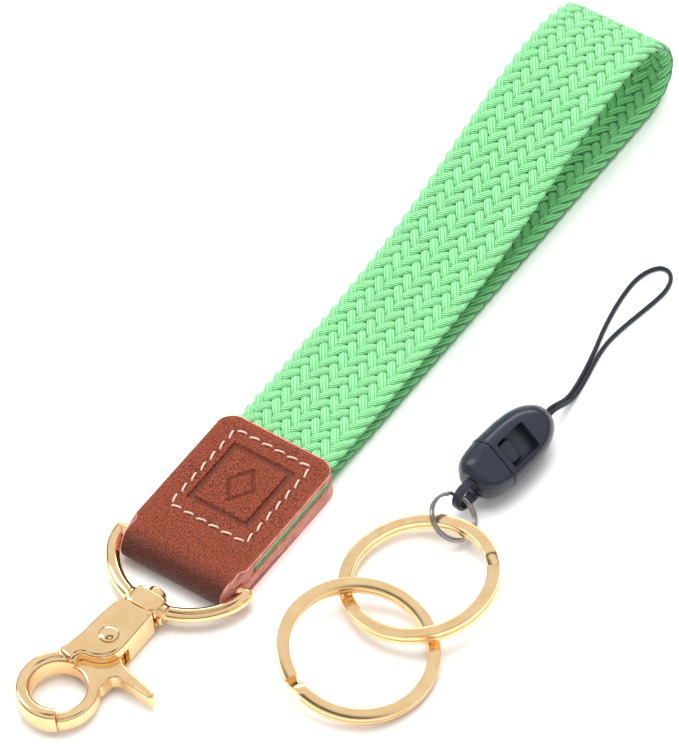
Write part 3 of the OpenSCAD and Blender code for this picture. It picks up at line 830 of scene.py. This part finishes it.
# ---------------------------------------------------------------- hook
EYE_R, ARM_W, BODY_T = 5.5, 2.9, 7
BODY_Z = BAR_Z - BODY_T / 2
PIVOT = np.array([0, SHANK_Y - 8.7])
EYE = np.array([-1.8, PIVOT[1] - 14.4])
TRIGGER_Z, TRIGGER_T, HUB_R = BODY_Z + 1.1, 3.6, 2.9
MOUTH, ROOT = -54, 97
RIVET_R, FOOT_R, FOOT_T, DOME_EDGE, DOME_H = 1.0, 1.7, 0.5, 0.12, 0.7


def at_pivot(points):
    return [(x, PIVOT[1] + y) for x, y in points]


def on_pivot(shape):
    return moved(shape, Matrix.Translation((*PIVOT, 0)))


shank = SHANK_Y - PIVOT[1]
root = EYE[1] + EYE_R - PIVOT[1]
body_outline = smooth_line(at_pivot([
    (-3.3, shank - 0.05), (0.4, shank), (3.9, shank - 0.05), (4.15, shank - 0.9), (4.15, shank - 5),
    (4.1, -1.2), (3.5, -3.4), (2.3, -4.9), (0.4, -5.9), (-1.7, -6.4), (-2.5, -7.4),
    (-2.7, root + 0.2), (-4.4, root + 0.35), (-6.2, root + 0.9), (-6.3, root + 1.7),
    (-5.6, -5.0), (-5.1, -2.0), (-4.9, 1.6), (-4.3, shank - 2.6), (-3.8, shank - 0.7)]), 5,
    closed=True)[::-1]
body_plate = plate(body_outline, BODY_Z, BODY_Z + BODY_T, 0.8, 6)
arm_end = 360 + MOUTH - 1.5
arm_line = arc(EYE, EYE_R + ARM_W / 2, ROOT - 4, arm_end, 64, BAR_Z)
arm = swept(arm_line, round_section(ARM_W, BODY_T - 1.4, 1.15, 7))
slot_low, slot_high = TRIGGER_Z - 0.1, TRIGGER_Z + TRIGGER_T + 0.1
slot_end = PIVOT[1] + 0.45
slot_box = block((20, slot_end - EYE[1], slot_high - slot_low),
                 (-2.3 + 10, (EYE[1] + slot_end) / 2, (slot_low + slot_high) / 2), 0.12)
hub_cut = on_pivot(cylinder(HUB_R + 0.2, slot_low, slot_high, 48))
rivet_cut = on_pivot(cylinder(RIVET_R, -1, 9))
foot_cut = on_pivot(cylinder(FOOT_R, -1, BODY_Z + FOOT_T))
post_cut = along_y(cylinder(POST_R, -POST_DEPTH, 2), (HOOK_X, SHANK_Y, BAR_Z))
mesh = cast("hook", [body_plate, arm], [slot_box, hub_cut, rivet_cut, foot_cut, post_cut])
piece("hook_casting", mesh, GOLD, "hook", ["hook_body"], sharp=32)

body_top = BODY_Z + BODY_T
dome = body_top + DOME_EDGE
rivet = [(0, BODY_Z + 0.01), (FOOT_R, BODY_Z + 0.01), (FOOT_R, BODY_Z + FOOT_T - 0.01),
         (RIVET_R - 0.005, BODY_Z + FOOT_T), (RIVET_R - 0.005, body_top), (HEAD_R - 0.1, body_top),
         (HEAD_R, dome)]
rivet += [(HEAD_R * math.cos(a), dome + DOME_H * math.sin(a)) for a in np.linspace(12, 89, 9) * DEG]
rivet += [(0, dome + DOME_H)]
mesh = mesh_of("rivet", [on_pivot(turned(rivet, 40))])
piece("trigger_pin", mesh, GOLD, "hook", ["trigger_rivet"], sharp=40)

# ---------------------------------------------------------------- trigger
WELL_R, WELL_DEEP = 2.27, 1.32
lever_outline = smooth_line(at_pivot([
    (-1.9, -1.0), (-2.15, -3.5), (-2.1, root + 0.8), (-1.2, root + 0.25), (1.2, root + 0.7),
    (3.3, root + 0.1), (5.0, root - 1.2), (5.3, -8.0), (5.7, -6.8), (6.9, -6.2), (8.4, -6.25),
    (11, -6.5), (13.6, -6.8), (14.7, -6.75), (15.1, -6.1), (14.75, -5.4), (13.6, -5.0),
    (10.8, -4.35), (7.6, -3.65), (5.4, -2.9), (4.0, -1.75), (2.8, -1.0), (1.2, 1.6),
    (-0.8, 1.4)]), 5, closed=True)
trigger_plate = plate(lever_outline, TRIGGER_Z, TRIGGER_Z + TRIGGER_T, 0.45, 5)
gate_line = arc(EYE, EYE_R + 1.3, MOUTH, 96, 48, TRIGGER_Z + TRIGGER_T / 2)
gate = swept(gate_line, round_section(2.6, TRIGGER_T, 0.75, 6))
trigger_top = TRIGGER_Z + TRIGGER_T
hub = on_pivot(turned([(0, TRIGGER_Z), (HUB_R - 0.15, TRIGGER_Z), (HUB_R, TRIGGER_Z + 0.15),
                       (HUB_R, trigger_top - 0.15), (HUB_R - 0.15, trigger_top),
                       (0, trigger_top)], 48))
pin_cut = on_pivot(cylinder(RIVET_R + 0.05, 0, 9))
spring_cut = on_pivot(cylinder(WELL_R, trigger_top - WELL_DEEP, 9, 40))
mesh = cast("trigger", [trigger_plate, gate, hub], [pin_cut, spring_cut])
piece("trigger_casting", mesh, GOLD, "trigger", ["hook_trigger"], sharp=32)

# ---------------------------------------------------------------- key rings
RING_R, BAND_W, RING_T = 16, 2.5, 2.5
STEP_W = 16
ring_x = float(sum(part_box("key_ring_a")[k][0] for k in (0, 1)) / 2 / MM)
RING_STEP, CROSS_GAP = 0.65 * 2 * RING_R, 0.15
RING_A_Y = 6.8
LEAN_A, LEAN_B = -0.38, 0.62
crossing = math.sqrt((RING_R - BAND_W) ** 2 - RING_STEP**2 / 4)
tilt = math.degrees(math.atan((RING_T + CROSS_GAP) / crossing))
ring_z = 0.1 + RING_R * math.sin(LEAN_B * tilt * DEG) + RING_T / 2
# Each ring's middle in Y, its lean, and where its two turns step over, in degrees
RINGS = {"a": (RING_A_Y, LEAN_A * tilt, 46), "b": (RING_A_Y - RING_STEP, LEAN_B * tilt, -108)}


def split_ring(radius, jog, section, lift):
    """Two turns of one band, which steps up from the first to the second over STEP_W degrees."""
    up, down = 360 - STEP_W / 2, 360 + STEP_W / 2
    end = 720 - STEP_W / 2 - 0.5
    a = np.concatenate([np.arange(STEP_W / 2 + 0.5, up, 2.0), np.arange(up, down, 1),
                        np.arange(down, end, 2.0), [end]])
    z = -lift + 2 * lift * step((a - up) / STEP_W)
    t = (a + jog) * DEG
    path = np.stack([radius * np.cos(t), radius * np.sin(t), z], 1)
    return swept(path, section)


band = round_section(BAND_W, RING_T / 2 - 0.07, 0.22, 4)
for side, (ring_y, lean, jog) in RINGS.items():
    shape = split_ring(RING_R - BAND_W / 2, jog, band, RING_T / 4)
    put = Matrix.Translation((ring_x, ring_y, ring_z)) @ Matrix.Rotation(lean * DEG, 4, "Y")
    mesh = mesh_of("key_ring", [moved(shape, put)])
    piece("split_ring_" + side, mesh, GOLD, "ring_" + side, ["key_ring_" + side], sharp=40)

# ---------------------------------------------------------------- link ring
LINK_R, LINK_WIRE = 4.9, 0.75
LINK_A, LINK_ROLL, LINK_JOG = 10.5, 36, 120
out = RING_R + 0.3
link_at = (ring_x - out * math.sin(LINK_A * DEG), RINGS["a"][0] + out * math.cos(LINK_A * DEG),
           ring_z)
put = (Matrix.Translation(link_at) @ Matrix.Rotation(LINK_A * DEG, 4, "Z")
       @ Matrix.Rotation(LINK_ROLL * DEG, 4, "Y"))
shape = split_ring(LINK_R, LINK_JOG, circle_section(LINK_WIRE / 2, 14), LINK_WIRE * 0.47)
mesh = mesh_of("link", [moved(shape, put)])
piece("link_split_ring", mesh, NICKEL, "link", ["link_ring"], sharp=50)

# ---------------------------------------------------------------- connector
CONN_R, CONN_T = 6, 9
LUG_IN = LINK_R + 0.6
lug_at = np.array([link_at[0] - LUG_IN * math.sin(LINK_A * DEG),
                   link_at[1] + LUG_IN * math.cos(LINK_A * DEG), ring_z + 0.2])
CONN_TURN, CONN_ROLL, AXIS_UP = -6, 38, 6 - lug_at[2]
SEAM, NOSE = 8.7, 25.1
LUG_R, LUG_HOLE_R = 3.05, 2.25
to_lug = Matrix.Translation(lug_at) @ Matrix.Rotation(CONN_TURN * DEG, 4, "Z")
to_axis = to_lug @ Matrix.Translation((0, 0, AXIS_UP)) @ Matrix.Rotation(CONN_ROLL * DEG, 4, "Y")


def bullet(profile, sides=72):
    """A body turned about Y and softly flattened on two sides."""
    profile = np.array(profile, float)
    a = np.arange(sides) * 2 * math.pi / sides
    rows = []
    for y, r in profile:
        r = max(r, 1e-3)
        z = r * np.sin(a)
        limit = CONN_T / 2
        z = limit * z / (np.abs(z) ** 14 + limit**14) ** (1 / 14)
        rows.append(np.stack([r * np.cos(a), np.full(sides, y), z], 1))
    return np.concatenate(rows), closed_rows(len(rows), sides)


plug_r = CONN_R - 0.15
plug_profile = smooth_line([(2.0, 1.0), (2.02, 2.7), (2.5, 3.5), (3.4, 4.5), (4.5, 5.15),
                            (5.8, 5.5), (7.2, 5.72), (8.2, plug_r)], 4)
plug_profile = [(2.0, 0), *plug_profile, (SEAM - 0.22, plug_r), (SEAM - 0.1, plug_r - 0.12),
                (SEAM - 0.1, 0)]
lug_outline = [(LUG_R * math.cos(a), LUG_R * math.sin(a))
               for a in np.linspace(0, 2 * math.pi, 49)[:-1]]
lug = moved(plate(lug_outline, -1, 1, 0.35, 4), Matrix.Rotation(math.pi / 2, 4, "Y"))
neck = block((2, 3.4, 6.1), (0, 1.7, 0), 0.35)
lug_hole = along_x(cylinder(LUG_HOLE_R, -4, 4, 40))
tongue = block((7.4, 12, 4.4), (0, SEAM + 5, 0), 0.5)
catch = block((5.0, 3.2, 6.6), (0, SEAM + 3.2, 0), 0.5)
mesh = cast("plug", [moved(bullet(plug_profile), to_axis), moved(lug, to_lug), moved(neck, to_lug),
                     moved(tongue, to_axis), moved(catch, to_axis)], [moved(lug_hole, to_lug)])
piece("connector_plug_moulding", mesh, PLASTIC, "plug", ["connector_plug"],
      sharp=35)

socket_profile = smooth_line([
    (SEAM + 0.25, CONN_R), (11, CONN_R), (15, CONN_R - 0.02), (18.5, CONN_R - 0.35),
    (21, CONN_R - 1.0), (23, CONN_R - 2.0), (24.4, CONN_R - 3.2), (25.0, CONN_R - 4.3)], 6)
socket_profile = [(SEAM, 0), (SEAM, CONN_R - 0.15), *socket_profile, (NOSE, 1.2), (NOSE, 0)]
cavity = block((7.8, 12.2, 4.8), (0, SEAM + 5.1, 0), 0.3)
window = block((6.2, 7.6, 12), (0, 9.9 + 3.8, 6), 0.5)
knot_room = along_y(turned([(0, 19.9), (1.6, 19.9), (1.6, 23.0), (1.15, 23.2), (1.15, 26),
                            (0, 26)], 32))
mesh = cast("socket", [moved(bullet(socket_profile), to_axis)],
            [moved(cavity, to_axis), moved(window, to_axis), moved(knot_room, to_axis)])
piece("connector_socket_moulding", mesh, PLASTIC, "socket", ["connector_socket"],
      sharp=35)

for node, finish in (("trigger_spring", STEEL), ("cord_knot", CORD)):
    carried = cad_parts[node].data
    carried.materials.clear()
    carried.materials.append(finish.material)

# ---------------------------------------------------------------- floor and light
FLOOR_SIZE, FLOOR_DROP = 8, 0.02 * MM
bpy.ops.mesh.primitive_plane_add(size=FLOOR_SIZE, location=(0, 0, -FLOOR_DROP))
floor = bpy.context.object
floor.name = "floor"
floor.data.materials.append(floor_finish().material)


def lamp(name, at, toward, size, power, mirrored=True):
    """A lamp in metres and watts; one that is not mirrored leaves no white patch on the metal."""
    light = bpy.data.lights.new(name, "AREA")
    light.shape, light.size, light.size_y = "RECTANGLE", size[0], size[1]
    light.energy = power
    made = bpy.data.objects.new(name, light)
    made.location = at
    made.rotation_euler = (Vector(toward) - Vector(at)).to_track_quat("-Z", "Y").to_euler()
    made.visible_glossy = mirrored
    bpy.context.scene.collection.objects.link(made)


# Height and grey of the surroundings, with dark bands low down and near the top for the metal
SKY = ((0.0, 0.03), (0.20, 0.04), (0.32, 0.85), (0.62, 0.9), (0.93, 1.0), (0.95, 0.06),
       (0.975, 0.06), (0.99, 1.0))
SKY_STRENGTH = 0.9
middle = (0.02, 0.04, 0.005)
lamp("overhead", (-0.05, 0.15, 0.75), middle, (0.55, 0.55), 5.5, False)
lamp("side", (-0.7, -0.25, 0.5), middle, (0.3, 0.7), 2.2)
lamp("far_strip", (-0.35, 0.75, 0.45), middle, (0.9, 0.12), 2.0)
world = bpy.data.worlds.new("studio")
world.use_nodes = True
sky = world.node_tree
sky_way, sky_parts = sky.nodes.new("ShaderNodeTexCoord"), sky.nodes.new("ShaderNodeSeparateXYZ")
sky_ramp = sky.nodes.new("ShaderNodeValToRGB")
for _ in SKY[2:]:
    sky_ramp.color_ramp.elements.new(1)
for stop, (height, grey) in zip(sky_ramp.color_ramp.elements, SKY):
    stop.position, stop.color = height, (grey, grey, grey, 1)
sky.links.new(sky_way.outputs["Generated"], sky_parts.inputs[0])
sky.links.new(sky_parts.outputs[2], sky_ramp.inputs[0])
sky.links.new(sky_ramp.outputs[0], sky.nodes["Background"].inputs[0])
sky.nodes["Background"].inputs[1].default_value = SKY_STRENGTH
bpy.context.scene.world = world
bpy.context.scene.view_settings.view_transform = "Standard"
